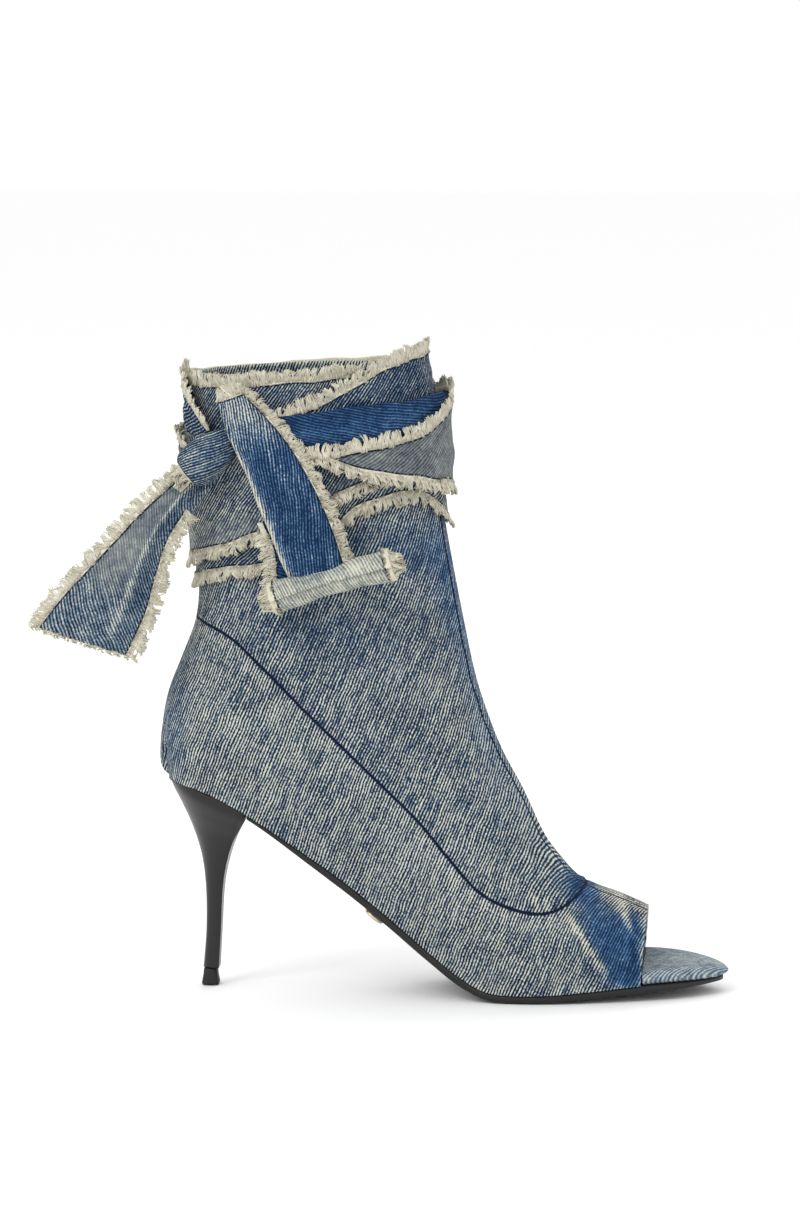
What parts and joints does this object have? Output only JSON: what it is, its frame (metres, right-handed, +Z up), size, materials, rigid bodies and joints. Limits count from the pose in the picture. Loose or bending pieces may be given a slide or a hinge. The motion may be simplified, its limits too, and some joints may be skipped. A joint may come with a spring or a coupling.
{
  "type": "peep toe ankle boot",
  "caption": "Right peep toe ankle boot on a slim stiletto heel, with a frayed denim tie wound round the shaft and knotted at the outer side.",
  "frame": {"origin": "middle of the heel tip's flat face, which stands on the floor", "axes": "+X from the heel to the toe along the floor, +Y to the inner side of the foot, +Z up"},
  "size_m": [0.2752, 0.0841, 0.2619],
  "materials": {
    "denim": "matte",
    "tie_denim": "matte",
    "sole_black": "satin",
    "heel_black": "satin",
    "tip_black": "matte",
    "stud_metal": "polished"
  },
  "bodies": {
    "root": {"upper": "denim", "insole": "denim", "outsole": "sole_black", "heel": "heel_black", "heel_tip": "tip_black", "sole_stud": "stud_metal", "tie_inner_turn": "tie_denim", "tie_middle_turn": "tie_denim", "tie_cross_turn": "tie_denim", "tie_fold": "tie_denim", "tie_outer_turn": "tie_denim", "tie_knot": "tie_denim", "tie_front_tail": "tie_denim", "tie_back_tail": "tie_denim"}
  },
  "joints": []
}
